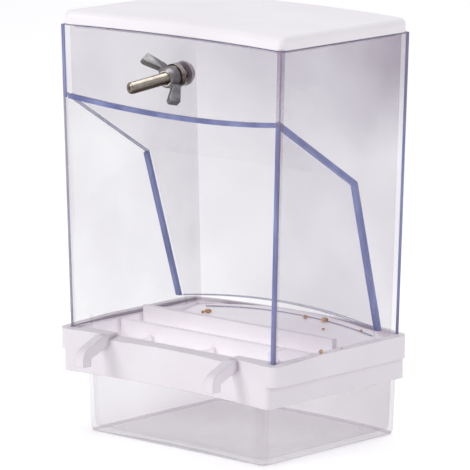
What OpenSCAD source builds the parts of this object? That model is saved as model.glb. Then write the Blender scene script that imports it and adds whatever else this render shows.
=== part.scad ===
// Bird cage feeder: a clear hopper hood on a white seed tray, with a catch drawer below
// and a wing-nut bolt and two hooks that hold it against a round cage.
// The cage side is -Y. The drawer's underside is z = 0.

/* [Hood] */
// Width of the hood across its top
hood_w = 120; // [100:1:160]
// How much each side wall draws in from top to foot
side_taper = 4; // [0:0.1:6]
// Depth of the hood at its side walls
hood_d = 77; // [65:1:100]
// Height of the hood
hood_h = 125; // [105:1:160]
// Wall thickness of the hood
hood_t = 2.4; // [1.8:0.1:3]
// How far the back wall leans forwards from rim to foot
back_lean = 1.5; // [0:0.1:3]
// Height of the front wall at the corners
front_wall_h = 30; // [26:1:40]
// How much lower that edge hangs in the middle
lip_dip = 4.2; // [0:0.1:6]

/* [Curved plan] */
// Hollow of the cage-side faces across the hood's width
front_sag = 5.5; // [4:0.1:10]
// Bulge of the back faces across the hood's width
back_sag = 6.5; // [4:0.1:10]

/* [Baffle] */
// Distance of the baffle's crease behind the front
crease_back = 45.2; // [38:0.5:50]
// Drop of the crease below the front wall's corners
crease_drop = 29; // [20:0.5:38]
// Distance of the baffle's lower edge behind the front
gate_back = 62.4; // [55:0.5:65]
// Height of the baffle's lower edge above the foot
gate_up = 4; // [2:0.5:8]
// Rise of the arch in the baffle's lower edge
gate_arch = 3.5; // [1:0.1:6]
// Bulge of the crease and the lower edge towards the back
baffle_bow = 6.5; // [2:0.1:9]

/* [Lid] */
// Height of the lid above the hood's rim
lid_h = 5.5; // [4:0.1:9]
// Rounding of the lid's upper edge
lid_round = 2.6; // [1:0.1:3.5]
// Depth of the rib that locates the lid inside the hood
plug_h = 1.5; // [1:0.1:6]
// Clearance between the rib and the hood
plug_gap = 0.4; // [0.2:0.05:0.8]

/* [Tray] */
// How far the tray's rim stands out beyond the hood's foot at each side
rim_ledge = 4; // [3:0.1:8]
// Height of the tray's rim
rim_h = 8.5; // [7:0.1:12]
// How far the skirt is set in under the rim at each side
skirt_step = 3.5; // [2:0.1:5]
// Height of the skirt
skirt_h = 9; // [8:0.1:14]
// Wall thickness of the tray
tray_t = 2.4; // [1.6:0.1:3]
// How far the tray's front stands ahead of the hood
tray_front = 4.3; // [3:0.1:8]
// Height of the lip that holds the hood's foot
seat_lip = 1.2; // [0.6:0.1:2.5]
// Clearance between that lip and the hood
seat_gap = 0.3; // [0.2:0.05:0.6]
// Depth of the front ledge behind the hood's front corners
ledge_in = 5; // [3:0.1:8]

/* [Slats] */
// Thickness of a slat
slat_t = 2.4; // [1.6:0.1:3]
// Clearance between a slat's end and the tray
slat_gap = 1; // [0.5:0.1:3]
// Distance of the front slat behind the hood's front
slat_1_back = 27.5; // [20:0.5:29]
// Distance of the rear slat behind the front slat
slat_pitch = 13.5; // [11:0.5:16]
// Height of the rear slat above the hood's foot
slat_2_up = 3.8; // [2:0.1:8]
// Drop of the front slat below the hood's foot
slat_1_drop = 0; // [0:0.1:3]

/* [Hooks] */
// Distance of each hook from the middle
hook_x = 35.6; // [25:0.1:44]
// Width of a hook
hook_w = 4.6; // [3:0.1:8]
// Thickness of a hook
hook_t = 4.6; // [3:0.1:6]
// Reach of a hook ahead of the hood's front corners
hook_reach = 15.4; // [13:0.1:20]
// Drop of a hook's tip below the hood's foot
hook_drop = 11.6; // [10:0.1:16]
// Fall of a hook's arm, in degrees
hook_slope = 22; // [10:1:35]

/* [Drawer] */
// Height of the drawer below the tray's skirt
drawer_show = 25.5; // [18:0.5:40]
// Clearance between the drawer's top and the tray's rim
drawer_room = 1; // [0.5:0.1:2]
// Wall thickness of the drawer
drawer_t = 1.9; // [1.4:0.1:2.6]
// Draft of the drawer's walls from top to floor
drawer_draft = 1.4; // [0.5:0.1:2.5]
// Radius of the drawer's corners in plan
drawer_r = 6; // [3:0.1:10]
// Width of the flange that runs on the skirt's rails
flange_w = 2.2; // [1.5:0.1:2.5]
// Clearance between a flange and the skirt's wall
flange_gap = 1.4; // [0.5:0.1:2]
// Clearance of the drawer on its rails
run_gap = 0.3; // [0.2:0.05:0.6]

/* [Bolt and wing nut] */
// Diameter of the bolt
bolt_d = 4.9; // [3.9:0.1:5.9]
// Length of the bolt under its head
bolt_len = 32; // [24:1:45]
// Distance of the bolt below the hood's top
bolt_down = 15.5; // [12:0.5:18]
// Diameter of the hole in the hood
bolt_hole_d = 6.2; // [5:0.1:7]
// How far the bolt tips down in its hole, in degrees
bolt_tip = 5; // [0:0.5:6]
// Diameter of a washer
washer_d = 10; // [9:0.5:14]
// Thickness of a washer
washer_t = 1; // [0.6:0.1:1.6]
// Span of the wings
wing_span = 25; // [20:0.5:32]
// Height of the wing nut
nut_h = 10.8; // [9:0.1:15]
// Turn of the wings from upright, in degrees
wing_turn = 41; // [0:1:180]

/* [Hidden] */
arc_fn = 360;
round_fn = 64;
far = 200;
eps = 0.01;

// Levels, from the ground up
skirt_z = drawer_show;
rim_z = skirt_z + skirt_h;
foot_z = rim_z + rim_h;
top_z = foot_z + hood_h;
bolt_z = top_z - bolt_down;
drawer_h = rim_z - drawer_room;
lip_up = hood_h - front_wall_h;
crease_up = lip_up - crease_drop;

// Half widths and the curved faces' common centres
half_top = hood_w / 2;
half_foot = half_top - side_taper;
front_y = -hood_d / 2;
back_y = hood_d / 2;
front_rad = (half_top * half_top + front_sag * front_sag) / (2 * front_sag);
back_rad = (half_top * half_top + back_sag * back_sag) / (2 * back_sag);
front_c = front_y + front_sag - front_rad;
back_c = back_y + back_sag - back_rad;

// Tray
deck_t = 2.5;
rim_half = half_foot + rim_ledge;
skirt_half = rim_half - skirt_step;
rim_r = 5;
skirt_r = 2;
rim_back = 0.8;
skirt_back = 1.6;
well_half = half_foot - hood_t - seat_gap;
slat_half = well_half - slat_gap;
well_front = front_y + ledge_in;
well_back = back_rad - back_lean - hood_t - seat_gap;
lip_h = 5;
lip_t = 1.8;
floor_t = 2;
floor_crown = 2.9;
rib_t = 2;
rib_h = 3;
ledge_drop = 1;
ledge_fall = 2.5;
slat_1_y = front_y + slat_1_back;
slat_2_y = slat_1_y + slat_pitch;
slat_foot_z = rim_z + 0.5;
seat_ramp = 25.5;

// Lid
lid_t = 2.4;
lid_r = 4;
lid_steps = 5;
lid_air = 0.1;
lid_facets = [12, 5];
lid_z = top_z + lid_air;

// Lugs of the hood that drop into the tray's well
lug_back = 1.5;
lug_len = 8;
lug_y0 = front_y + lug_back;
lug_y1 = lug_y0 + lug_len;
lug_t = 1.8;
lug_up = 4.5;
lug_down = 3.5;

// Hooks
shoulder_r = 0.8;
finger_h = 2.6;
root_sink = 0.5;

// Drawer
drawer_half = skirt_half - tray_t - flange_gap - flange_w;
drawer_front = tray_front - tray_t - drawer_room / 2;
drawer_back = 5.5;
floor_round = 2;
flange_t = 2;
flange_in = 1;
drawer_facets = [8, 4];
rail_t = 2;
rail_z = skirt_z;
flange_z = rail_z + rail_t + run_gap;

// Bolt group, along its own axis from the middle of the wall
stack_air = 0.1;
thread_gap = 0.05;
washer_gap = 0.6;
tip_room = washer_d / 2 * sin(bolt_tip) + stack_air;
wall_face = hood_t / 2 + tip_room;
head_z = -wall_face - washer_t - stack_air / 2;
washer_hole_d = bolt_d + washer_gap;
nut_washer_z = wall_face + washer_t + stack_air;
nut_z = nut_washer_z + washer_t + stack_air;
hub_d = 9;
hub_top_d = 8;
hub_h = 4.8;
wing_t = 2.6;
wing_tip_r = 2.9;
head_d = 9.2;
head_h = 3;
head_crown_r = 5.7;
bolt_chamfer = 0.8;

// Colours
CLEAR = [0.80, 0.80, 0.90, 0.35];
WHITE = [0.95, 0.94, 0.97];
STEEL = [0.62, 0.60, 0.57];
ZINC = [0.60, 0.59, 0.60];

// Depth of the hollow front and the bulging back at a half width
function front_at(x, out = 0) = front_c + sqrt(pow(front_rad - out, 2) - x * x);
function back_at(x, out = 0) = back_c + sqrt(pow(back_rad + out, 2) - x * x);

// Half width of the tapered hood at a height
function hood_half(z) = half_foot + (half_top - half_foot) * (z - foot_z) / hood_h;

// Share of a bow that is left at a distance from the middle
function bow_share(x) = 1 - pow(x / half_top, 2);

// Points of the curved plan, anticlockwise from the front's left end, with so many facets a face and a corner
function plan_points(half, out_f, out_b, r, facets) =
  let (n = facets[0], m = facets[1], xc = half - r, yf = front_at(xc, out_f) + r, yb = back_at(xc, out_b) - r)
  concat(
    [for (i = [0:n]) let (x = xc * (2 * i / n - 1)) [x, front_at(x, out_f)]],
    [for (i = [1:m]) let (a = 90 * i / m - 90) [xc + r * cos(a), yf + r * sin(a)]],
    [for (i = [0:m - 1]) let (a = 90 * i / m) [xc + r * cos(a), yb + r * sin(a)]],
    [for (i = [0:n]) let (x = xc * (1 - 2 * i / n)) [x, back_at(x, out_b)]],
    [for (i = [1:m]) let (a = 90 + 90 * i / m) [-xc + r * cos(a), yb + r * sin(a)]],
    [for (i = [0:m - 1]) let (a = 180 + 90 * i / m) [-xc + r * cos(a), yf + r * sin(a)]]
  );

// Closed skin over rings of points, one ring per level from the bottom up
module loft(rings) {
  n = len(rings[0]);
  last = (len(rings) - 1) * n;
  polyhedron(
    points = [for (ring = rings) for (p = ring) p],
    faces = concat(
      [[for (i = [n - 1:-1:0]) n - 1 - i]],
      [[for (i = [n - 1:-1:0]) last + i]],
      [for (k = [0:len(rings) - 2]) for (i = [0:n - 1])
        let (a = k * n + i, b = k * n + (i + 1) % n) [a, a + n, b]],
      [for (k = [0:len(rings) - 2]) for (i = [0:n - 1])
        let (b = k * n + (i + 1) % n, a = k * n + i) [b, a + n, b + n]]
    )
  );
}

// One level of a loft: the curved plan at a height, drawn in by an inset
function ring_at(z, half, out_f, out_b, r, inset, facets) =
  [for (p = plan_points(half - inset, out_f - inset, out_b - inset, max(r - inset, 1), facets)) [p.x, p.y, z]];

// Curved plan with true arcs and rounded corners
module plan(half, out_f, out_b, r) {
  xc = half - r;
  yf = front_at(xc, out_f) + r;
  yb = back_at(xc, out_b) - r;
  difference() {
    intersection() {
      translate([0, back_c])
        circle(r = back_rad + out_b, $fn = arc_fn);
      union() {
        translate([-xc, -far])
          square([2 * xc, 2 * far]);
        translate([-half, yf])
          square([2 * half, yb - yf]);
        for (sx = [-1, 1], y = [yf, yb])
          translate([sx * xc, y])
            circle(r = r, $fn = round_fn);
      }
    }
    translate([0, front_c])
      circle(r = front_rad - out_f, $fn = arc_fn);
  }
}

// Upright slab of the curved plan between two heights
module plan_slab(z0, z1, half, out_f, out_b, r) {
  translate([0, 0, z0])
    linear_extrude(z1 - z0)
      plan(half, out_f, out_b, r);
}

// Space between the hood's two side walls, drawn in by an inset
module between_sides(inset, z0, z1) {
  translate([0, far, 0])
    rotate([90, 0, 0])
      linear_extrude(2 * far)
        polygon([
          [inset - hood_half(z0), z0], [hood_half(z0) - inset, z0],
          [hood_half(z1) - inset, z1], [inset - hood_half(z1), z1]
        ]);
}

// The hood's outer form, drawn in by an inset
module hood_form(inset, z0, z1) {
  lean0 = back_lean * (top_z - z0) / hood_h;
  lean1 = back_lean * (top_z - z1) / hood_h;
  difference() {
    intersection() {
      between_sides(inset, z0, z1);
      translate([0, back_c, z0])
        cylinder(h = z1 - z0, r1 = back_rad - lean0 - inset, r2 = back_rad - lean1 - inset, $fn = arc_fn);
    }
    translate([0, front_c, z0 - 1])
      cylinder(h = z1 - z0 + 2, r = front_rad + inset, $fn = arc_fn);
  }
}

// The baffle's two runs in side view: the slope from the front edge and the steep drop
slope_a = atan2(lip_up - crease_up, crease_back);
steep_a = atan2(gate_back - crease_back, crease_up - gate_up);
slope_n = [sin(slope_a), cos(slope_a)];
steep_n = [cos(steep_a), sin(steep_a)];
miter = (slope_n + steep_n) / (1 + slope_n * steep_n);

// Outline in side view of the space under the baffle, moved out by a thickness
function under_outline(x, e) =
  let (
    bow = bow_share(x),
    edge_y = front_y + front_sag * bow,
    edge_z = foot_z + lip_up - lip_dip * bow + e / cos(slope_a),
    crease = [front_y + crease_back + baffle_bow * bow, foot_z + crease_up] + e * miter,
    gate = [front_y + gate_back + baffle_bow * bow + e / cos(steep_a), foot_z + gate_up],
    below = foot_z - 5,
    foot_y = gate.x + (gate.y - below) * tan(steep_a)
  )
  [[foot_y, below], [crease.x, crease.y], [edge_y, edge_z], [-far, edge_z], [-far, below]];

// Space under the baffle, as a row of outlines across the hood's width
module under_baffle(e, n = 16) {
  reach = half_top + 2;
  loft([for (i = [0:n]) let (x = reach * (2 * i / n - 1)) [for (p = under_outline(x, e)) [x, p.x, p.y]]]);
}

// Room under the baffle's lower edge, with its shallow arch
module gate_room() {
  inner = half_foot - hood_t;
  arch_rad = (inner * inner + gate_arch * gate_arch) / (2 * gate_arch);
  gate_y = front_y + gate_back + baffle_bow;
  y0 = front_y + crease_back;
  depth = gate_y + 2 * hood_t - y0;
  intersection() {
    between_sides(hood_t, foot_z - 1, foot_z + gate_up + gate_arch + 1);
    hood_form(hood_t + 1, foot_z - 1, foot_z + gate_up + gate_arch + 1);
    translate([0, y0 + depth, 0])
      rotate([90, 0, 0])
        linear_extrude(depth)
          union() {
            translate([0, foot_z + gate_up + gate_arch - arch_rad])
              circle(r = arch_rad, $fn = arc_fn);
            translate([-far / 2, foot_z - 1])
              square([far, gate_up + 1]);
          }
  }
}

// Places the bolt group: its own +Z runs out of the hood towards the cage
module at_bolt() {
  translate([0, front_y + front_sag + hood_t / 2, bolt_z])
    rotate([90 + bolt_tip, 0, 0])
      children();
}

// Clear hood in one moulding: four walls, the bent baffle and two locating lugs
module hood() {
  color(CLEAR)
    difference() {
      union() {
        difference() {
          hood_form(0, foot_z, top_z);
          difference() {
            hood_form(hood_t, foot_z - 1, top_z + 1);
            under_baffle(hood_t);
          }
          intersection() {
            between_sides(hood_t, foot_z - 1, top_z);
            under_baffle(0);
          }
          gate_room();
        }
        for (sx = [-1, 1])
          hood_lug(sx);
      }
      at_bolt()
        translate([0, 0, -3 * hood_t])
          cylinder(h = 6 * hood_t, d = bolt_hole_d, $fn = round_fn);
    }
}

// Lug on the inside of a side wall, with a tongue that drops into the tray's well
module hood_lug(sx) {
  x1 = half_foot - hood_t;
  x2 = well_half - seat_gap;
  x0 = x1 - lug_t;
  bite = hood_t / 4;
  tongue_y = well_front + seat_gap;
  translate([sx > 0 ? x0 : -x1 - bite, lug_y0, foot_z])
    cube([lug_t + bite, lug_y1 - lug_y0, lug_up]);
  translate([sx > 0 ? x0 : -x2, tongue_y, foot_z - lug_down])
    cube([x2 - x0, lug_y1 - tongue_y, lug_up + lug_down]);
}

// One level of the lid's skin
function lid_ring(z, inset) = ring_at(z, half_top, 0, 0, lid_r, inset, lid_facets);

// Upright slab of the lid's plan, drawn in by an inset
module lid_slab(z0, z1, inset) {
  translate([0, 0, z0])
    linear_extrude(z1 - z0)
      polygon([for (p = lid_ring(0, inset)) [p.x, p.y]]);
}

// White lid: a shallow cap with a rounded upper edge and a rib that drops inside the hood's rim
module lid() {
  rib = hood_t + plug_gap;
  color(WHITE)
    translate([0, 0, lid_z])
      difference() {
        union() {
          lid_slab(-plug_h, lid_t, rib);
          loft(concat(
            [lid_ring(0, 0)],
            [for (i = [0:lid_steps]) let (a = 90 * i / lid_steps)
              lid_ring(lid_h - lid_round * (1 - sin(a)), lid_round * (1 - cos(a)))]
          ));
        }
        lid_slab(-plug_h - 1, lid_h - lid_t, rib + lid_t);
      }
}

// Clear catch drawer: drafted walls, round corners and a flange along each side
module drawer() {
  color(CLEAR) {
    difference() {
      union() {
        loft([for (k = drawer_levels()) drawer_ring(k, 0)]);
        for (sx = [-1, 1])
          drawer_flange(sx);
      }
      loft(concat(
        [for (k = drawer_levels()) if (k.x < drawer_h) drawer_ring([k.x + drawer_t, k.y], drawer_t)],
        [drawer_ring([drawer_h + 1, 0], drawer_t)]
      ));
    }
  }
}

// Heights of the drawer's rings and how far the rounded floor edge draws them in
function drawer_levels() = [
  [0, floor_round],
  [floor_round * (1 - cos(45)), floor_round * (1 - sin(45))],
  [floor_round, 0],
  [drawer_h, 0]
];

// One ring of the drawer's skin
function drawer_ring(level, inset) =
  ring_at(level.x, drawer_half, drawer_front, drawer_back, drawer_r,
    inset + level.y + drawer_draft * (1 - level.x / drawer_h), drawer_facets);

// Flange along one side of the drawer
module drawer_flange(sx) {
  y0 = front_at(drawer_half, drawer_front) + drawer_r + flange_in;
  y1 = back_at(drawer_half, drawer_back) - drawer_r - flange_in;
  x0 = drawer_half - drawer_draft - drawer_t / 2;
  x1 = drawer_half + flange_w;
  translate([sx > 0 ? x0 : -x1, y0, flange_z])
    cube([x1 - x0, y1 - y0, flange_t]);
}

// Side view of a hook: a falling arm, a round shoulder and a finger
module hook_profile() {
  outer = hook_t + shoulder_r;
  inner = shoulder_r;
  y0 = front_y - hook_reach;
  tip_z = foot_z - hook_drop;
  bend = [y0 + outer, tip_z + finger_h];
  root_y = front_y + front_sag;
  run = (foot_z - root_sink - bend.y - outer * cos(hook_slope)) / sin(hook_slope);
  up = [-sin(hook_slope), cos(hook_slope)];
  along = [cos(hook_slope), sin(hook_slope)];
  top = bend + outer * up + run * along;
  under = bend + inner * up + run * along;
  polygon(concat(
    [[y0, tip_z]],
    [for (a = [180:-6:90 + hook_slope]) bend + outer * [cos(a), sin(a)]],
    [top, [root_y, top.y], [root_y, under.y], under],
    [for (a = [90 + hook_slope:6:180]) bend + inner * [cos(a), sin(a)]],
    [[y0 + hook_t, tip_z]]
  ));
}

// Hook that hangs on a cage bar
module hook(x) {
  translate([x - hook_w / 2, 0, 0])
    rotate([90, 0, 90])
      linear_extrude(hook_w)
        hook_profile();
}

// White tray in one moulding: turned-down rim, skirt, ledge, slats, seed floor and hooks
module tray() {
  color(WHITE) {
    difference() {
      union() {
        tray_rim();
        tray_skirt();
        for (sx = [-1, 1])
          hook(sx * hook_x);
      }
      hood_seat();
      front_fall(0);
    }
    front_ledge();
    tray_well();
  }
}

// Deck with a turned-down outer wall, open over the well
module tray_rim() {
  difference() {
    plan_slab(rim_z, foot_z + seat_lip, rim_half, tray_front, rim_back, rim_r);
    plan_slab(rim_z - 1, foot_z - deck_t, rim_half - tray_t, tray_front - tray_t, rim_back - tray_t, rim_r - tray_t);
    well_cut(0, rim_z, foot_z + 2 * seat_lip);
  }
}

// Prism of the well's outline, widened by an edge, between two heights
module well_cut(edge, z0, z1) {
  x1 = well_half + edge;
  translate([0, 0, z0])
    linear_extrude(z1 - z0)
      intersection() {
        translate([-x1, well_front - edge])
          square([2 * x1, far]);
        translate([0, back_c])
          circle(r = well_back + edge, $fn = arc_fn);
      }
}

// Skirt that carries the drawer's rails, open at the back where the drawer comes out
module tray_skirt() {
  slot_half = drawer_half + flange_w + run_gap;
  difference() {
    plan_slab(skirt_z, foot_z - deck_t + eps, skirt_half, tray_front, skirt_back, skirt_r);
    plan_slab(skirt_z - 1, foot_z, skirt_half - tray_t, tray_front - tray_t, skirt_back - tray_t, 1);
    translate([-slot_half, 0, skirt_z - 1])
      cube([2 * slot_half, far, rim_z - skirt_z + 1]);
  }
  for (sx = [-1, 1])
    skirt_rail(sx);
}

// Rail under the drawer's flange
module skirt_rail(sx) {
  x0 = drawer_half + run_gap;
  x1 = skirt_half - tray_t / 2;
  y0 = front_at(skirt_half, tray_front) + tray_t;
  y1 = back_at(skirt_half, skirt_back) - tray_t;
  translate([sx > 0 ? x0 : -x1, y0, rail_z])
    cube([x1 - x0, y1 - y0, rail_t]);
}

// Lips round the well, the two slats, their ribs and the falling seed floor
module tray_well() {
  deck_z = foot_z - deck_t;
  difference() {
    well_cut(lip_t, foot_z - lip_h - deck_t, deck_z + eps);
    well_cut(0, rim_z - 1, foot_z + 1);
  }
  slat(slat_1_y, foot_z - slat_1_drop);
  slat(slat_2_y, foot_z + slat_2_up);
  for (x = [-1, 0, 1] * slat_half * 2 / 3)
    translate([x - rib_t / 2, well_front - lip_t / 2, slat_foot_z])
      cube([rib_t, slat_2_y - well_front + lip_t / 2, rib_h]);
  seed_floor();
}

// Upright slat between the feeding side and the seeds
module slat(y, z1) {
  translate([-slat_half, y - slat_t / 2, slat_foot_z])
    cube([2 * slat_half, slat_t, z1 - slat_foot_z]);
}

// Crowned floor that falls from the back wall to the rear slat
module seed_floor() {
  low_z = slat_foot_z;
  high_z = foot_z - deck_t;
  back = well_back + back_c;
  fall = atan2(high_z - low_z, back - slat_2_y);
  crown_rad = (well_half * well_half + floor_crown * floor_crown) / (2 * floor_crown);
  intersection() {
    union() {
      well_cut(0, rim_z, foot_z + floor_crown);
      well_cut(lip_t / 2, rim_z, foot_z - deck_t + eps);
    }
    translate([-far / 2, slat_2_y, low_z])
      rotate([fall, 0, 0])
        cube([far, far, floor_t + floor_crown]);
    translate([0, slat_2_y, low_z])
      rotate([fall, 0, 0])
        translate([0, far, floor_t + floor_crown - crown_rad])
          rotate([90, 0, 0])
            cylinder(h = 2 * far, r = crown_rad, $fn = arc_fn);
  }
}

// Step in the deck that takes the hood's foot, with its lip running out towards the front
module hood_seat() {
  half = half_foot + seat_gap;
  plan_slab(foot_z, foot_z + 2 * seat_lip, half, far / 10, seat_gap - back_lean, 1);
  ramp_y = front_y + seat_ramp;
  translate([-far / 2, 0, 0])
    rotate([90, 0, 90])
      linear_extrude(far)
        polygon([
          [ramp_y, foot_z + seat_lip], [ramp_y, foot_z + 3 * seat_lip],
          [front_y - far / 10, foot_z + 3 * seat_lip], [front_y - far / 10, foot_z],
          [front_y - tray_front / 2, foot_z]
        ]);
}

// Space above the sloping front ledge between the hooks, or the ledge's own slab under it
module front_fall(slab) {
  half = hook_x - hook_w / 2;
  y0 = well_front + eps;
  y1 = front_y - tray_front - 1;
  z0 = foot_z - ledge_drop;
  z1 = z0 - ledge_fall;
  translate([-half, 0, 0])
    rotate([90, 0, 90])
      linear_extrude(2 * half)
        if (slab > 0)
          polygon([[y0, z0], [y1, z1], [y1, z1 - slab], [y0, z0 - slab]]);
        else
          polygon([[y0 + 1, z0], [y0, z0], [y1, z1], [y1, foot_z + 1], [y0 + 1, foot_z + 1]]);
}

// Sloping ledge in front of the well
module front_ledge() {
  intersection() {
    plan_slab(rim_z, foot_z, rim_half, tray_front, 0, rim_r);
    front_fall(deck_t);
  }
}

// Pan-headed bolt, its head inside the hopper
module bolt() {
  shank = bolt_len - bolt_chamfer;
  color(STEEL)
    at_bolt()
      translate([0, 0, head_z]) {
        cylinder(h = shank, d = bolt_d, $fn = round_fn);
        translate([0, 0, shank])
          cylinder(h = bolt_chamfer, d1 = bolt_d, d2 = bolt_d - 2 * bolt_chamfer, $fn = round_fn);
        translate([0, 0, -head_h])
          rotate_extrude($fn = round_fn)
            intersection() {
              square([head_d / 2, head_h]);
              translate([0, head_crown_r])
                circle(r = head_crown_r, $fn = arc_fn);
            }
      }
}

// Plain washer on the bolt
module washer(z) {
  at_bolt()
    translate([0, 0, z])
      difference() {
        cylinder(h = washer_t, d = washer_d, $fn = round_fn);
        translate([0, 0, -1])
          cylinder(h = washer_t + 2, d = washer_hole_d, $fn = round_fn);
      }
}

// Washer under the bolt's head, inside the hopper
module inner_washer() {
  color(STEEL)
    washer(-wall_face - washer_t);
}

// Washer against the outside of the hood's front wall
module wall_washer() {
  color(STEEL)
    washer(wall_face);
}

// Washer that travels with the wing nut
module nut_washer() {
  color(STEEL)
    washer(nut_washer_z);
}

// Cast wing nut
module wing_nut() {
  root_r = 2.6;
  color(ZINC)
    at_bolt()
      translate([0, 0, nut_z])
        difference() {
          union() {
            cylinder(h = hub_h, d1 = hub_d, d2 = hub_top_d, $fn = round_fn);
            for (turn = [0, 180])
              rotate([0, 0, 90 + wing_turn + turn])
                rotate([90, 0, 0])
                  translate([0, 0, -wing_t / 2])
                    linear_extrude(wing_t)
                      hull() {
                        translate([hub_d / 4, root_r])
                          circle(r = root_r, $fn = 32);
                        translate([wing_span / 2 - wing_tip_r, nut_h - wing_tip_r])
                          circle(r = wing_tip_r, $fn = 32);
                      }
          }
          translate([0, 0, -1])
            cylinder(h = nut_h + 2, d = bolt_d + 2 * thread_gap, $fn = round_fn);
        }
}

hood();
lid();
tray();
drawer();
bolt();
inner_washer();
wall_washer();
nut_washer();
wing_nut();
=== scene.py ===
import math
import random

import bmesh
import bpy
from mathutils import Matrix, Vector
from mathutils.bvhtree import BVHTree


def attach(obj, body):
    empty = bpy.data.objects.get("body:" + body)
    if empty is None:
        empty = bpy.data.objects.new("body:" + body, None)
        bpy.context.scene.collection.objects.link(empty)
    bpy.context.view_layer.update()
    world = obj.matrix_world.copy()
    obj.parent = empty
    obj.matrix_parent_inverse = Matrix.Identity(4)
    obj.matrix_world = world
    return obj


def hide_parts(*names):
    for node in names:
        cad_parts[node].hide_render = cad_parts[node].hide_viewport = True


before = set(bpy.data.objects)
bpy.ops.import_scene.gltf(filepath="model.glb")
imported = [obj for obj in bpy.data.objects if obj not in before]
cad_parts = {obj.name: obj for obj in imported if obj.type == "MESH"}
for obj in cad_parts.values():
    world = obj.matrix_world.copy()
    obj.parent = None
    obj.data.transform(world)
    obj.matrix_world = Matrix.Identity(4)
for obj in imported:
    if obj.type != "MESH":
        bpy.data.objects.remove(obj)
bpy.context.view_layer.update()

# The seed tray: one moulding in bright white polypropylene, with its rim, skirt, slats and two
# cage hooks. It comes from the mould with soft edges, a satin skin and a few flecks of dust.
# A painted glow lifts the well, most of all down at its floor: painted light for the daylight
# that falls through the clear hood.
SCENE = bpy.context.scene
MM = 0.001
# FLECK is the colour of dust flecks; CREASE is the colour of painted shade in creases and
# corners.
FLECK, CREASE = (0.30, 0.26, 0.25), (0.50, 0.42, 0.50)
CREASE_REACH = 0.003
SKIN_GRAIN = 0.000012
WELL_SIDE, WELL_FRONT, WELL_BACK = (0.0555, 0.0562), (-0.0340, -0.0334), (0.0400, 0.0408)
WELL_FLOOR, WELL_RISE = (0.0340, 0.0350), (0.0360, 0.0480)
DEEP_PAINTED_GLOW, SHALLOW_PAINTED_GLOW = 1.7, 0.4


def new_paint(name):
    paint = bpy.data.materials.new(name)
    paint.use_nodes = True
    tree = paint.node_tree
    shader = tree.nodes["Principled BSDF"]
    place = tree.nodes.new("ShaderNodeTexCoord")
    return paint, tree, shader, place.outputs["Object"]


def mottle(tree, place, scale, detail=2.0):
    noise = tree.nodes.new("ShaderNodeTexNoise")
    noise.inputs["Scale"].default_value = scale
    noise.inputs["Detail"].default_value = detail
    tree.links.new(place, noise.inputs["Vector"])
    return noise.outputs["Fac"]


def spread(tree, value, low, high, out_low, out_high):
    stretch = tree.nodes.new("ShaderNodeMapRange")
    stretch.inputs["From Min"].default_value = low
    stretch.inputs["From Max"].default_value = high
    stretch.inputs["To Min"].default_value = out_low
    stretch.inputs["To Max"].default_value = out_high
    tree.links.new(value, stretch.inputs["Value"])
    return stretch.outputs["Result"]


def combine(tree, kind, first, second=0.0):
    node = tree.nodes.new("ShaderNodeMath")
    node.operation = kind
    for socket, value in zip(node.inputs, (first, second)):
        if isinstance(value, float):
            socket.default_value = value
        else:
            tree.links.new(value, socket)
    return node.outputs["Value"]


def times(tree, first, second):
    return combine(tree, "MULTIPLY", first, second)


def plus(tree, first, second):
    return combine(tree, "ADD", first, second)


def blend_colours(tree, share, first, second):
    mix = tree.nodes.new("ShaderNodeMix")
    mix.data_type = "RGBA"
    tree.links.new(share, mix.inputs["Factor"])
    for socket, colour in ((mix.inputs["A"], first), (mix.inputs["B"], second)):
        if isinstance(colour, tuple):
            socket.default_value = (*colour, 1)
        else:
            tree.links.new(colour, socket)
    return mix.outputs["Result"]


def soft_edges(tree, radius):
    rounding = tree.nodes.new("ShaderNodeBevel")
    rounding.samples = 6
    rounding.inputs["Radius"].default_value = radius
    return rounding.outputs["Normal"]


def raise_grain(tree, shader, height, depth, edges):
    bump = tree.nodes.new("ShaderNodeBump")
    bump.inputs["Strength"].default_value = 1.0
    bump.inputs["Distance"].default_value = depth
    tree.links.new(height, bump.inputs["Height"])
    tree.links.new(edges, bump.inputs["Normal"])
    tree.links.new(bump.outputs["Normal"], shader.inputs["Normal"])


def painted_crease_shade(tree, reach):
    nook = tree.nodes.new("ShaderNodeAmbientOcclusion")
    nook.samples = 8
    nook.only_local = True
    nook.inputs["Distance"].default_value = reach
    return spread(tree, nook.outputs["AO"], 0.4, 0.95, 0.75, 0.0)


def split_place(tree, place):
    split = tree.nodes.new("ShaderNodeSeparateXYZ")
    tree.links.new(place, split.inputs["Vector"])
    return split.outputs["X"], split.outputs["Y"], split.outputs["Z"]


def dust_flecks(tree, place):
    dots = tree.nodes.new("ShaderNodeTexVoronoi")
    dots.inputs["Scale"].default_value = 62.0
    tree.links.new(place, dots.inputs["Vector"])
    pick = tree.nodes.new("ShaderNodeSeparateColor")
    tree.links.new(dots.outputs["Color"], pick.inputs["Color"])
    size = spread(tree, pick.outputs["Red"], 0.8, 1.0, 0.0, 0.03)
    return combine(tree, "LESS_THAN", dots.outputs["Distance"], size)


def painted_well_glow(tree, place, glow):
    x, y, z = split_place(tree, place)
    across = spread(tree, combine(tree, "ABSOLUTE", x), *WELL_SIDE, glow, 0.0)
    along = times(tree, spread(tree, y, *WELL_FRONT, 0.0, 1.0),
                  spread(tree, y, *WELL_BACK, 1.0, 0.0))
    above = times(tree, spread(tree, z, *WELL_FLOOR, 0.0, 1.0),
                  spread(tree, z, *WELL_RISE, DEEP_PAINTED_GLOW, SHALLOW_PAINTED_GLOW))
    return times(tree, across, times(tree, along, above))


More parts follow.
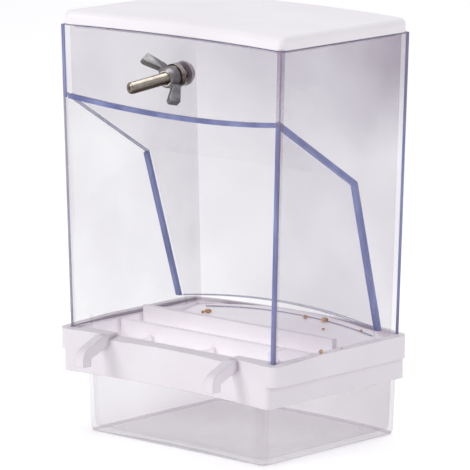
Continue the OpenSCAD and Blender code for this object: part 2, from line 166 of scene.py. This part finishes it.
def white_moulding(name, bright, shade, edge_radius, glow=0.0):
    paint, tree, shader, place = new_paint(name)
    cloud = spread(tree, mottle(tree, place, 28.0, 3.0), 0.35, 0.65, 0.0, 1.0)
    skin = blend_colours(tree, cloud, bright, shade)
    skin = blend_colours(tree, dust_flecks(tree, place), skin, FLECK)
    # Painted shade: creases, corners and the groove under the rim are darkened towards a lilac
    # grey.
    skin = blend_colours(tree, painted_crease_shade(tree, CREASE_REACH), skin, CREASE)
    tree.links.new(skin, shader.inputs["Base Color"])
    # Painted light: an emission glow in the well stands in for the daylight that falls into it
    # through the hood.
    if glow:
        tree.links.new(painted_well_glow(tree, place, glow), shader.inputs["Emission Strength"])
        shader.inputs["Emission Color"].default_value = (1.0, 0.98, 1.0, 1)
    satin = spread(tree, mottle(tree, place, 90.0), 0.3, 0.7, 0.3, 0.42)
    tree.links.new(satin, shader.inputs["Roughness"])
    shader.inputs["Specular IOR Level"].default_value = 0.45
    raise_grain(tree, shader, mottle(tree, place, 900.0, 1.0), SKIN_GRAIN,
                soft_edges(tree, edge_radius))
    return paint


def dress(node, paint):
    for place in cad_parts[node].material_slots:
        place.material = paint


# The tray's white is painted a little darker than the lid's: painted shade where the hood shades
# the tray.
dress("tray", white_moulding("white_tray_painted_shade", (0.83, 0.79, 0.83), (0.79, 0.745, 0.785), 0.0006,
                             glow=0.17))


# The lid: a shallow cap in the same white plastic, moulded by itself with a full round along its
# upper edge. Its white is painted lighter than the tray's, as painted light on its open top. It
# lies loose on the hood's rim, held by a low rib, and lifts off for filling.
HALF_TOP, HOOD_D, TOP_Z, WALL = 60.0, 77.0, 168.0, 2.4
FRONT_SAG, BACK_SAG = 5.5, 6.5
LID_AIR, LID_H, LID_WALL = 0.1, 5.5, 2.4
LID_ROUND, LID_CORNER = 2.6, 4.0
RIB_DROP, RIB_IN = 1.5, 2.8


def front_at(x):
    bend = (HALF_TOP**2 + FRONT_SAG**2) / (2 * FRONT_SAG)
    return -HOOD_D / 2 + FRONT_SAG - bend + math.sqrt(bend**2 - x * x)


def back_at(x, lean=0.0):
    bend = (HALF_TOP**2 + BACK_SAG**2) / (2 * BACK_SAG)
    return HOOD_D / 2 + BACK_SAG - bend + math.sqrt((bend - lean) ** 2 - x * x)


def hand_over(bm, name, paint, body, smooth_to=None):
    bmesh.ops.recalc_face_normals(bm, faces=bm.faces)
    mesh = bpy.data.meshes.new(name)
    for face in bm.faces:
        face.smooth = smooth_to is not None
    bm.to_mesh(mesh)
    bm.free()
    if smooth_to is not None:
        mesh.set_sharp_from_angle(angle=math.radians(smooth_to))
    mesh.materials.append(paint)
    piece = bpy.data.objects.new(name, mesh)
    SCENE.collection.objects.link(piece)
    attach(piece, body)
    return piece


def round_off(bm, geom, affect, offset, segments):
    bmesh.ops.bevel(bm, geom=geom, affect=affect, offset=offset * MM, segments=segments,
                    profile=0.5, material=-1)


def pull(bm, faces, rise, keep=False):
    grown = bmesh.ops.extrude_face_region(bm, geom=faces)["geom"]
    moved = [g for g in grown if isinstance(g, bmesh.types.BMVert)]
    bmesh.ops.translate(bm, vec=(0, 0, rise * MM), verts=moved)
    if not keep:
        bmesh.ops.delete(bm, geom=[f for f in faces if f.is_valid], context="FACES_ONLY")
    return [g for g in grown if isinstance(g, bmesh.types.BMFace)]


def ring_in(bm, faces, margin):
    ring = pull(bm, faces, 0.0)
    spots = list({v for f in ring for v in f.verts})
    low = Vector([min(v.co[k] for v in spots) for k in range(3)])
    high = Vector([max(v.co[k] for v in spots) for k in range(3)])
    size = (high - low) / MM
    bmesh.ops.scale(bm, vec=(1 - 2 * margin / size.x, 1 - 2 * margin / size.y, 1.0),
                    space=Matrix.Translation(-(low + high) / 2), verts=spots)
    return ring


bm = bmesh.new()
bmesh.ops.create_grid(bm, x_segments=24, y_segments=1, size=1.0)
for vert in bm.verts:
    x = vert.co.x * HALF_TOP
    y = front_at(x) if vert.co.y < 0 else back_at(x)
    vert.co = Vector((x, y, TOP_Z + LID_AIR)) * MM
bmesh.ops.dissolve_faces(bm, faces=bm.faces[:])
corners = [v for v in bm.verts if abs(abs(v.co.x) - HALF_TOP * MM) < 1e-6]
round_off(bm, corners, "VERTICES", LID_CORNER, 8)
bottom = bm.faces[:]
top = pull(bm, bottom, LID_H, keep=True)
round_off(bm, [e for f in top for e in f.edges], "EDGES", LID_ROUND, 8)
rib = pull(bm, ring_in(bm, [f for f in bottom if f.is_valid], RIB_IN), -RIB_DROP)
pull(bm, ring_in(bm, rib, LID_WALL), RIB_DROP + LID_H - LID_WALL)
# Painted light: the lid's white is lighter than the tray's.
white_lid_painted_light = white_moulding("white_lid_painted_light", (0.90, 0.87, 0.905), (0.87, 0.835, 0.875), 0.0003)
lid = hand_over(bm, "white_lid_cap", white_lid_painted_light, "lid", 35)
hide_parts("lid")


# The hood: one moulding in clear polystyrene with a faint lilac cast, under a grey haze with
# random smudges and rub marks. The haze thickens towards the top, as painted shade under the lid,
# and towards the back. It is thinner on the left half of the front, as painted light where the
# lamp falls. Where the walls are seen along their thickness, at the sides and front corners, it
# adds up.
LEFT_FADE, LEFT_PAINTED_LIGHT = (-0.054, -0.015), 0.72
LEFT_WALL_GAIN, LEFT_CORNER_GAIN = (1.7, -1.0), 0.6
CORNER_SPAN = (-0.05, 0.05)
BACK_FADE, BACK_HAZE = (-0.005, 0.035), 1.6


def clear_moulding(name, tint, haze, climb, gloss, side_line, front_y, side_gain, corner_gain,
                   hem=None):
    paint, tree, shader, place = new_paint(name)
    x, y, z = split_place(tree, place)
    smudge = spread(tree, mottle(tree, place, 19.0, 4.0), 0.35, 0.68, 0.8, 1.3)
    # Painted shade: the haze thickens with height, in the hood towards the shade under the lid.
    veil = times(tree, spread(tree, z, *climb, *haze), smudge)
    in_side = combine(tree, "GREATER_THAN", combine(tree, "ABSOLUTE", x),
                      spread(tree, z, *side_line))
    in_corner = times(tree, in_side, combine(tree, "LESS_THAN", y, front_y))
    if side_gain:
        # Painted light: the haze thins on the left half of the front, where the lamp falls.
        veil = times(tree, veil, spread(tree, x, *LEFT_FADE, LEFT_PAINTED_LIGHT, 1.0))
        left = times(tree, combine(tree, "LESS_THAN", x, 0.0),
                     spread(tree, z, *climb, *LEFT_WALL_GAIN))
        gain = times(tree, in_side, plus(tree, left, side_gain))
        veil = times(tree, veil, plus(tree, gain, 1.0))
    gain = times(tree, in_corner, spread(tree, x, *CORNER_SPAN, LEFT_CORNER_GAIN, corner_gain))
    veil = times(tree, veil, plus(tree, gain, 1.0))
    veil = times(tree, veil, spread(tree, y, *BACK_FADE, 1.0, BACK_HAZE))
    if hem:
        off_hem = combine(tree, "ABSOLUTE", combine(tree, "SUBTRACT", z, hem))
        on_hem = combine(tree, "LESS_THAN", off_hem, hem * 0.9)
        veil = plus(tree, veil, spread(tree, on_hem, 0.0, 1.0, 0.0, 0.35))
    # Painted reflection: the haze thickens a little where the surface is seen at a grazing angle.
    grazing = tree.nodes.new("ShaderNodeLayerWeight")
    grazing.inputs["Blend"].default_value = 0.12
    veil = plus(tree, veil, spread(tree, grazing.outputs["Fresnel"], 0.0, 1.0, 0.0, 0.05))
    outline = tree.nodes.new("ShaderNodeLayerWeight")
    veil = plus(tree, veil, spread(tree, outline.outputs["Facing"], 0.92, 1.0, 0.0, 0.5))
    tree.links.new(veil, shader.inputs["Alpha"])
    tone = tree.nodes.new("ShaderNodeVectorMath")
    tone.operation = "SCALE"
    tone.inputs[0].default_value = tint
    rub = spread(tree, mottle(tree, place, 60.0, 3.0), 0.3, 0.7, 0.9, 1.1)
    tree.links.new(rub, tone.inputs["Scale"])
    tree.links.new(tone.outputs["Vector"], shader.inputs["Base Color"])
    polish = spread(tree, mottle(tree, place, 45.0), 0.3, 0.7, gloss, gloss + 0.1)
    tree.links.new(polish, shader.inputs["Roughness"])
    shader.inputs["IOR"].default_value = 1.5
    shader.inputs["Specular IOR Level"].default_value = 0.25
    return paint


def clean_copy(node, name, paint, body, smooth_to=None):
    bm = bmesh.new()
    bm.from_mesh(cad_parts[node].data)
    bmesh.ops.remove_doubles(bm, verts=bm.verts, dist=1e-6)
    piece = hand_over(bm, name, paint, body, smooth_to)
    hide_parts(node)


clear_hood = clear_moulding(
    "clear_hood", tint=(0.31, 0.245, 0.35), haze=(0.066, 0.136), climb=(0.118, 0.158), gloss=0.32,
    side_line=(0.043, 0.168, 0.0536, 0.0576), front_y=-0.0361, side_gain=0.7, corner_gain=2.0)
clean_copy("hood", "clear_hood_moulding", clear_hood, "feeder")


# The hood's blue edges: where a wall ends or the baffle joins a side wall, light gathered inside
# the clear plastic comes out blue and violet. Thin bars just under the skin carry that glow.
HALF_FOOT, FOOT_Z, BACK_LEAN = 56.0, 43.0, 1.5
LIP_UP, LIP_DIP = 95.0, 4.2
CREASE_BACK, CREASE_UP, BOW = 45.2, 66.0, 6.5
GATE_BACK, GATE_UP, GATE_ARCH = 62.4, 4.0, 3.5
SKIN = 0.12
CORE = WALL - 2 * SKIN
LOWER_EDGE = (FOOT_Z + SKIN, FOOT_Z + LIP_UP)
UPPER_EDGE = (FOOT_Z + LIP_UP, TOP_Z - SKIN)
WHOLE_EDGE = (FOOT_Z + SKIN, TOP_Z - SKIN)
LIP_GLOW = 1.8
BEND_STEPS = 32


def half_at(z):
    return HALF_FOOT + (HALF_TOP - HALF_FOOT) * (z - FOOT_Z) / (TOP_Z - FOOT_Z)


def baffle_run(x, depth):
    bow = 1 - (x / HALF_TOP) ** 2
    slope = math.atan2(LIP_UP - CREASE_UP, CREASE_BACK)
    steep = math.atan2(GATE_BACK - CREASE_BACK, CREASE_UP - GATE_UP)
    n1 = Vector((math.sin(slope), math.cos(slope)))
    n2 = Vector((math.cos(steep), math.sin(steep)))
    miter = (n1 + n2) / (1 + n1.dot(n2))
    edge = Vector((-HOOD_D / 2 + FRONT_SAG * bow,
                   FOOT_Z + LIP_UP - LIP_DIP * bow + depth / math.cos(slope)))
    crease = Vector((-HOOD_D / 2 + CREASE_BACK + BOW * bow, FOOT_Z + CREASE_UP)) + depth * miter
    gate = Vector((-HOOD_D / 2 + GATE_BACK + BOW * bow + depth / math.cos(steep),
                   FOOT_Z + GATE_UP))
    return edge, crease, gate


def sweep_bar(bm, stations):
    start = bmesh.ops.create_grid(bm, x_segments=1, y_segments=1, size=1.0)["verts"]
    end = start[0].link_faces[0]
    ring = [loop.vert for loop in end.loops]
    for vert, corner in zip(ring, stations[0]):
        vert.co = Vector(corner) * MM
    for i, corners in enumerate(stations[1:]):
        end = pull(bm, [end], 0.0, keep=i == 0)[0]
        near = {tuple(round(c, 7) for c in v.co): v for v in end.verts}
        ring = [near[tuple(round(c, 7) for c in v.co)] for v in ring]
        for vert, corner in zip(ring, corners):
            vert.co = Vector(corner) * MM


def across(half, steps):
    return [half * (2 * i / steps - 1) for i in range(steps + 1)]


def upright(x, y, z, deep, tall):
    return [(x, y, z), (x, y + deep, z), (x, y + deep, z + tall), (x, y, z + tall)]


def corner_bar(bm, side, levels, wide, deep, skew=0.0):
    rows = []
    for z in levels:
        out = half_at(z) - SKIN
        lean = BACK_LEAN * (TOP_Z - z) / (TOP_Z - FOOT_Z)
        y = front_at(out) + SKIN if deep > 0 else back_at(out, lean) - SKIN
        rows.append([(side * (out - inward), y + back, z) for inward, back in
                     ((0, 0), (wide, skew), (wide, deep + skew), (0, deep))])
    sweep_bar(bm, rows)


def baffle_bar(bm, side, bends, depths, outer):
    rows = []
    for k in bends:
        low, high = (baffle_run(HALF_FOOT, depth)[k] for depth in depths)
        rows.append([(side * (half_at(spot.y) - inset), spot.x, spot.y) for spot, inset in
                     ((low, outer), (low, WALL - SKIN), (high, WALL - SKIN), (high, outer))])
    sweep_bar(bm, rows)


def edge_glow(name, deep, pale, alpha):
    paint, tree, shader, place = new_paint(name)
    streak = tree.nodes.new("ShaderNodeMapping")
    streak.inputs["Scale"].default_value = (1.0, 1.0, 0.25)
    tree.links.new(place, streak.inputs["Vector"])
    cloud = mottle(tree, streak.outputs["Vector"], 110.0, 3.0)
    cloud = spread(tree, cloud, 0.35, 0.68, 0.0, 1.0)
    tree.links.new(blend_colours(tree, cloud, deep, pale), shader.inputs["Base Color"])
    dense = spread(tree, mottle(tree, place, 70.0), 0.3, 0.7, alpha, alpha + 0.12)
    tree.links.new(dense, shader.inputs["Alpha"])
    shader.inputs["Roughness"].default_value = 0.35
    return paint


bm = bmesh.new()
corner_bar(bm, 1, LOWER_EDGE, CORE, 0.8, skew=0.1)
rows = []
for x in across(half_at(FOOT_Z + LIP_UP) - WALL + SKIN, BEND_STEPS):
    z = FOOT_Z + LIP_UP - LIP_DIP * (1 - (x / HALF_TOP) ** 2) + SKIN
    rows.append(upright(x, front_at(x) + SKIN, z, CORE, LIP_GLOW))
sweep_bar(bm, rows)
corner_bar(bm, -1, UPPER_EDGE, 1.3, 0.7)
corner_bar(bm, 1, WHOLE_EDGE, 0.9, -0.7)
baffle_bar(bm, 1, (0, 1, 2), (SKIN, WALL - SKIN), SKIN)
baffle_bar(bm, -1, (1, 2), (0.4, WALL - 0.4), SKIN)
blue_edge = edge_glow("blue_edge", (0.11, 0.14, 0.37), (0.28, 0.33, 0.62), 0.78)
hand_over(bm, "hood_blue_edges", blue_edge, "feeder")


# The hood's fine edges: the rim under the lid, the arch of the seed gate, the left slope and two
# corners catch only a hair of grey violet. A thin bar across the seed floor in the same grey
# violet is a painted shadow line.
RIM_LINE_Z, RIM_LINE = TOP_Z - 0.45, 0.35
ARCH_LINE = 0.3
FLOOR_LINE, FLOOR_LINE_HALF, FLOOR_LINE_STEPS = 0.5, 46.0, 24
FLOOR_LINE_Y, FLOOR_LINE_Z, BEND_Y, BEND_Z = 35.9, 44.65, 0.0015, 0.00115

bm = bmesh.new()
baffle_bar(bm, -1, (0, 1), (1.0, 2.3), 1.4)
corner_bar(bm, -1, LOWER_EDGE, 0.8, 0.5)
corner_bar(bm, 1, UPPER_EDGE, 0.5, 0.5)
for edge_at, inward in ((front_at, 1), (back_at, -1)):
    sweep_bar(bm, [upright(x, edge_at(x) + inward * SKIN, RIM_LINE_Z, inward * CORE, RIM_LINE)
                   for x in across(HALF_TOP - SKIN, BEND_STEPS)])
for side in (-1, 1):
    sweep_bar(bm, [[(side * (HALF_TOP - inset), y, z) for inset, z in
                    ((SKIN, RIM_LINE_Z), (WALL - SKIN, RIM_LINE_Z),
                     (WALL - SKIN, RIM_LINE_Z + RIM_LINE), (SKIN, RIM_LINE_Z + RIM_LINE))]
                   for y in (front_at(HALF_TOP) + WALL, back_at(HALF_TOP) - WALL)])
arch_half = HALF_FOOT - WALL
arch_bend = (arch_half**2 + GATE_ARCH**2) / (2 * GATE_ARCH)
for depth in (SKIN, WALL - SKIN - ARCH_LINE):
    rows = []
    for x in across(arch_half, BEND_STEPS):
        z = FOOT_Z + GATE_UP + GATE_ARCH - arch_bend + math.sqrt(arch_bend**2 - x * x) + SKIN
        near, far = baffle_run(x, depth), baffle_run(x, depth + ARCH_LINE)
        row = []
        for run, rise in ((near, 0.0), (far, 0.0), (far, ARCH_LINE), (near, ARCH_LINE)):
            share = (z + rise - run[2].y) / (run[1].y - run[2].y)
            row.append((x, run[2].x + (run[1].x - run[2].x) * share, z + rise))
        rows.append(row)
    sweep_bar(bm, rows)
# Painted shadow: a thin dark bar lying across the seed floor stands in for the shadow line there.
sweep_bar(bm, [upright(x, FLOOR_LINE_Y - BEND_Y * x * x, FLOOR_LINE_Z - BEND_Z * x * x,
                       FLOOR_LINE, FLOOR_LINE)
               for x in across(FLOOR_LINE_HALF, FLOOR_LINE_STEPS)])
grey_edge = edge_glow("grey_violet_edge", (0.20, 0.21, 0.36), (0.36, 0.37, 0.50), 0.45)
hand_over(bm, "hood_fine_edges_and_floor_shadow", grey_edge, "feeder")

# The catch drawer: thin clear plastic, tinted a little greyer than the hood.
# It hangs by its two flanges on the rails of the tray's skirt, and its foot shows a pale hem.
clear_drawer = clear_moulding(
    "clear_drawer", tint=(0.46, 0.39, 0.455), haze=(0.088, 0.098), climb=(0.0, 0.034), gloss=0.2,
    side_line=(0.0, 0.0335, 0.0427, 0.0441), front_y=-0.0335, side_gain=0.0, corner_gain=0.7,
    hem=0.0005)
clean_copy("drawer", "clear_catch_drawer", clear_drawer, "drawer", 22)


# The bolt: an M5 machine screw in nickel-plated steel, threaded along its whole length. Its pan
# head sits inside the hopper, with a washer each side of the front wall.
BOLT_TIP_DEG, BOLT_R, BOLT_LEN, PITCH = 5.0, 2.45, 32.0, 0.8
BOLT_SPOT, HEAD_Z = (0, -31.8, 152.5), -2.786
THREAD_DEPTH, CHAMFER = 0.3, 0.8
CREST_LOW, CREST_HIGH, ROOT_HIGH = 0.3, 0.42, 0.72
THREAD_STEPS, LATHE_STEPS = 24, 48
TIP_LAND, DIMPLE = 0.5, ((0.32, -0.35), (0.24, -0.2))
PAN_HEAD = ((0, -3.0), (1.6, -2.95), (3.0, -2.55), (4.0, -1.75), (4.45, -0.9), (4.6, -0.35),
            (4.5, 0), (0, 0))


def worn_and_shaded_metal(name, bright, dark, painted_underside_shade, shine, dull, grain, depth, blotch):
    paint, tree, shader, place = new_paint(name)
    cloud = spread(tree, mottle(tree, place, blotch, 4.0), 0.35, 0.65, 0.0, 1.0)
    # Painted shade: faces that point down are darkened towards the underside colour, on top of
    # the random wear blotches.
    face = tree.nodes.new("ShaderNodeNewGeometry")
    tilt = split_place(tree, face.outputs["Normal"])[2]
    under = spread(tree, tilt, -0.35, 0.8, 1.0, 0.0)
    skin = blend_colours(tree, under, blend_colours(tree, cloud, bright, dark), painted_underside_shade)
    tree.links.new(skin, shader.inputs["Base Color"])
    wear = spread(tree, mottle(tree, place, blotch * 1.7), 0.3, 0.7, shine, dull)
    tree.links.new(wear, shader.inputs["Roughness"])
    shader.inputs["Metallic"].default_value = 1.0
    raise_grain(tree, shader, mottle(tree, place, grain, 2.0), depth, soft_edges(tree, 0.00018))
    return paint


def lathe(bm, outline, base, closed):
    ring = [bm.verts.new((r * MM, 0, (base + z) * MM)) for r, z in outline]
    follow = ring[1:] + ring[:1] if closed else ring[1:]
    rim = [bm.edges.new(pair) for pair in zip(ring, follow)]
    bmesh.ops.spin(bm, geom=ring + rim, cent=(0, 0, 0), axis=(0, 0, 1), angle=math.tau,
                   steps=LATHE_STEPS, use_merge=True)


bolt_place = Matrix.Translation(Vector(BOLT_SPOT) * MM) @ Matrix.Rotation(
    math.radians(90 + BOLT_TIP_DEG), 4, "X")
bm = bmesh.new()
root_r = BOLT_R - THREAD_DEPTH
lead = []
for r, z in ((root_r, 0.0), (BOLT_R, CREST_LOW), (BOLT_R, CREST_HIGH), (root_r, ROOT_HIGH),
             (root_r, PITCH)):
    lead.append(bm.verts.new((r * MM, 0, (HEAD_Z - PITCH + z) * MM)))
ridge = [bm.edges.new(pair) for pair in zip(lead, lead[1:])]
turns = int(BOLT_LEN / PITCH) + 2
bmesh.ops.spin(bm, geom=lead + ridge, cent=(0, 0, 0), axis=(0, 0, 1), angle=math.tau * turns,
               steps=THREAD_STEPS * turns, dvec=(0, 0, PITCH * MM / THREAD_STEPS))
bmesh.ops.remove_doubles(bm, verts=bm.verts, dist=0.00002)
for level, up in ((HEAD_Z, False), (HEAD_Z + BOLT_LEN, True)):
    bmesh.ops.bisect_plane(bm, geom=bm.verts[:] + bm.edges[:] + bm.faces[:], dist=1e-7,
                           plane_co=(0, 0, level * MM), plane_no=(0, 0, 1), clear_outer=up,
                           clear_inner=not up)
tip_z = (HEAD_Z + BOLT_LEN) * MM
for vert in bm.verts:
    reach = math.hypot(vert.co.x, vert.co.y)
    room = BOLT_R * MM - max(0.0, vert.co.z - (tip_z - CHAMFER * MM))
    if reach > room:
        vert.co.x *= room / reach
        vert.co.y *= room / reach
open_rims = [e for e in bm.edges if e.is_boundary]
caps = bmesh.ops.holes_fill(bm, edges=open_rims, sides=0)["faces"]
tip = ring_in(bm, [f for f in caps if f.calc_center_median().z > 0], TIP_LAND)
for margin, drop in DIMPLE:
    tip = pull(bm, ring_in(bm, tip, margin), drop)
lathe(bm, PAN_HEAD, HEAD_Z, closed=False)
bmesh.ops.remove_doubles(bm, verts=bm.verts, dist=1e-6)
bmesh.ops.transform(bm, matrix=bolt_place, verts=bm.verts)
steel = worn_and_shaded_metal("nickel_steel", (0.72, 0.66, 0.58), (0.50, 0.44, 0.37), (0.07, 0.05, 0.038),
                   shine=0.1, dull=0.2, grain=1500.0, depth=0.000005, blotch=260.0)
threaded = hand_over(bm, "threaded_bolt", steel, "feeder", 50)
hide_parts("bolt")

# The three washers: stamped steel rings. The two outside are as bright as the bolt, and the one
# under its head, inside the hopper, has gone dull with seed dust.
for washer in ("wall_washer", "nut_washer"):
    dress(washer, steel)
dusty = worn_and_shaded_metal("dull_steel", (0.68, 0.64, 0.62), (0.57, 0.53, 0.51), (0.36, 0.33, 0.33),
                   shine=0.3, dull=0.45, grain=1500.0, depth=0.000005, blotch=200.0)
dress("inner_washer", dusty)

# The wing nut: cast in zinc, with two flat wings that rise from a tapered hub. The cast skin is
# rough and grey, and the hub's outer face is turned bright where it was tapped.
NUT_Z, WING_TURN, WING_T = 3.936, 41.0, 2.6
TIP_ROUND, WING_ROUND = 0.8, 0.35
HUB = ((2.5, 0.0), (4.4, 0.0), (4.5, 0.25), (4.05, 4.3), (3.85, 4.65), (3.5, 4.8), (2.75, 4.8),
       (2.5, 4.5))
WING = ((2.9, 0.3), (5.4, 0.5), (12.4, 6.2), (10.6, 10.7), (8.9, 10.1), (4.6, 4.7), (2.9, 4.6))
TURNED_FACE = ((2.52, 4.7), (3.35, 4.7), (3.25, 4.86), (2.62, 4.9))

bm = bmesh.new()
lathe(bm, HUB, 0.0, closed=True)
for turn in (0, 180):
    wing = bmesh.new()
    side = [wing.verts.new((r * MM, -WING_T / 2 * MM, z * MM)) for r, z in WING]
    wing.faces.new(side)
    round_off(wing, side[2:4], "VERTICES", TIP_ROUND, 4)
    grown = bmesh.ops.extrude_face_region(wing, geom=wing.faces[:])["geom"]
    bmesh.ops.translate(wing, vec=(0, WING_T * MM, 0),
                        verts=[g for g in grown if isinstance(g, bmesh.types.BMVert)])
    flat = [e for e in wing.edges if abs(e.verts[0].co.y - e.verts[1].co.y) < 1e-6]
    round_off(wing, flat, "EDGES", WING_ROUND, 3)
    bmesh.ops.recalc_face_normals(wing, faces=wing.faces)
    bmesh.ops.rotate(wing, cent=(0, 0, 0), verts=wing.verts,
                     matrix=Matrix.Rotation(math.radians(90 + WING_TURN + turn), 3, "Z"))
    blank = bpy.data.meshes.new("wing")
    wing.to_mesh(blank)
    wing.free()
    bm.from_mesh(blank)
    bpy.data.meshes.remove(blank)
nut_place = bolt_place @ Matrix.Translation((0, 0, NUT_Z * MM))
bmesh.ops.transform(bm, matrix=nut_place, verts=bm.verts)
zinc = worn_and_shaded_metal("cast_zinc", (0.45, 0.445, 0.44), (0.29, 0.285, 0.285), (0.13, 0.125, 0.125),
                  shine=0.28, dull=0.42, grain=1100.0, depth=0.00003, blotch=300.0)
nut = hand_over(bm, "cast_wing_nut", zinc, "nut", 40)
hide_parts("wing_nut")

bm = bmesh.new()
lathe(bm, TURNED_FACE, NUT_Z, closed=True)
bmesh.ops.transform(bm, matrix=bolt_place, verts=bm.verts)
bright = worn_and_shaded_metal("turned_face", (0.85, 0.83, 0.80), (0.72, 0.69, 0.66), (0.35, 0.33, 0.31),
                    shine=0.1, dull=0.2, grain=2400.0, depth=0.000006, blotch=400.0)
hand_over(bm, "turned_hub_face", bright, "nut", 40)

# A few grains of millet left in the tray behind the slats, as in a feeder that has been tried.
# They lie loose on the seed floor and the ledges, at the height where a dropped grain lands.
GRAINS = ((-37.5, 25.1, 1.5), (-40.0, 24.6, 0.9), (8.6, 34.1, 1.3), (18.7, 34.8, 1.6),
          (24.6, 27.1, 0.7), (38.9, 34.2, 0.9), (58.1, -12.3, 1.2), (58.6, -0.4, 0.4))
DROP_Z, GRAIN_SHAPE, GRAIN_REST, LUMPS = 50.0, (1.0, 0.72, 0.66), 0.6, 0.05

random.seed(7)
bm = bmesh.new()
bm.from_mesh(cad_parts["tray"].data)
bed = BVHTree.FromBMesh(bm)
bm.free()
bm = bmesh.new()
for x, y, size in GRAINS:
    z = bed.ray_cast(Vector((x, y, DROP_Z)) * MM, Vector((0, 0, -1)))[0].z / MM
    grain = bmesh.ops.create_icosphere(bm, subdivisions=3, radius=size * MM)["verts"]
    bmesh.ops.scale(bm, vec=GRAIN_SHAPE, verts=grain)
    for vert in grain:
        vert.co *= 1 + LUMPS * (random.random() - 0.5)
    turn = Matrix.Rotation(random.uniform(0, math.pi), 4, "Z")
    lay = Matrix.Translation(Vector((x, y, z + GRAIN_REST * size)) * MM) @ turn
    bmesh.ops.transform(bm, matrix=lay, verts=grain)
bmesh.ops.smooth_vert(bm, verts=bm.verts, factor=0.4, use_axis_x=True, use_axis_y=True,
                      use_axis_z=True)
husk, tree, shader, place = new_paint("millet_husk")
stripe = spread(tree, mottle(tree, place, 700.0, 2.0), 0.4, 0.6, 0.0, 1.0)
stripe = blend_colours(tree, stripe, (0.42, 0.23, 0.09), (0.66, 0.44, 0.24))
tree.links.new(stripe, shader.inputs["Base Color"])
shader.inputs["Roughness"].default_value = 0.45
hand_over(bm, "stray_millet_grains", husk, "feeder", smooth_to=180)

# The room: a pale floor that runs up into nothing, lit like a small product table. A long lens
# stands a little to the feeder's right and just above it, on the side that faces the cage.
CAMERA_YAW, CAMERA_PITCH = math.radians(42.37), math.radians(10.51)
CAMERA_LENS, CAMERA_FAR = 344.7, 1.836
CAMERA_SIDE, CAMERA_UP, AIM_Z = 0.00044, 0.03933, 0.043


def aim_camera():
    back = Vector((math.sin(CAMERA_YAW) * math.cos(CAMERA_PITCH),
                   -math.cos(CAMERA_YAW) * math.cos(CAMERA_PITCH), math.sin(CAMERA_PITCH)))
    right = Vector((math.cos(CAMERA_YAW), math.sin(CAMERA_YAW), 0.0))
    up = back.cross(right)
    data = bpy.data.cameras.new("camera")
    data.lens = CAMERA_LENS
    data.sensor_width = 36.0
    data.clip_start = 0.05
    data.clip_end = 20.0
    camera = bpy.data.objects.new("camera", data)
    SCENE.collection.objects.link(camera)
    spot = right * CAMERA_SIDE + up * CAMERA_UP + back * CAMERA_FAR + Vector((0, 0, AIM_Z))
    turn = Matrix((right, up, back)).transposed().to_4x4()
    camera.matrix_world = Matrix.Translation(spot) @ turn
    SCENE.camera = camera


def soft_light(name, spot, aim_z, size, power, tint):
    data = bpy.data.lights.new(name, "AREA")
    data.shape = "RECTANGLE"
    data.size, data.size_y = size
    data.energy = power
    data.color = tint
    lamp = bpy.data.objects.new(name, data)
    SCENE.collection.objects.link(lamp)
    lamp.location = spot
    towards = Vector((0, 0, aim_z)) - Vector(spot)
    lamp.rotation_euler = towards.to_track_quat("-Z", "Y").to_euler()


aim_camera()
soft_light("key", (-0.50, -1.2, 0.62), 0.09, (0.5, 0.5), 5.6, (1.0, 0.985, 0.99))
soft_light("fill", (1.25, -0.35, 0.55), 0.09, (0.8, 0.9), 0.9, (0.97, 0.97, 1.0))
soft_light("top", (0.1, 0.2, 1.3), 0.09, (1.2, 1.2), 6.0, (1.0, 1.0, 1.0))
soft_light("back", (-0.5, 1.2, 0.6), 0.10, (1.4, 1.0), 1.5, (0.98, 0.97, 1.0))

world = bpy.data.worlds.new("studio")
SCENE.world = world
world.use_nodes = True
sky = world.node_tree.nodes["Background"]
sky.inputs["Color"].default_value = (0.93, 0.93, 0.95, 1)
sky.inputs["Strength"].default_value = 0.55
SCENE.view_settings.view_transform = "Standard"
SCENE.cycles.transparent_max_bounces = 32

bm = bmesh.new()
bmesh.ops.create_grid(bm, x_segments=1, y_segments=1, size=6.0)
floor_mesh = bpy.data.meshes.new("floor")
bm.to_mesh(floor_mesh)
bm.free()
floor = bpy.data.objects.new("floor", floor_mesh)
SCENE.collection.objects.link(floor)
floor_paint, tree, shader, place = new_paint("pale_floor")
sheet = blend_colours(tree, mottle(tree, place, 2.0), (0.80, 0.80, 0.81), (0.82, 0.82, 0.825))
tree.links.new(sheet, shader.inputs["Base Color"])
shader.inputs["Emission Color"].default_value = (1.0, 1.0, 1.0, 1)
shader.inputs["Emission Strength"].default_value = 0.38
shader.inputs["Roughness"].default_value = 0.9
shader.inputs["Specular IOR Level"].default_value = 0.1
floor_mesh.materials.append(floor_paint)
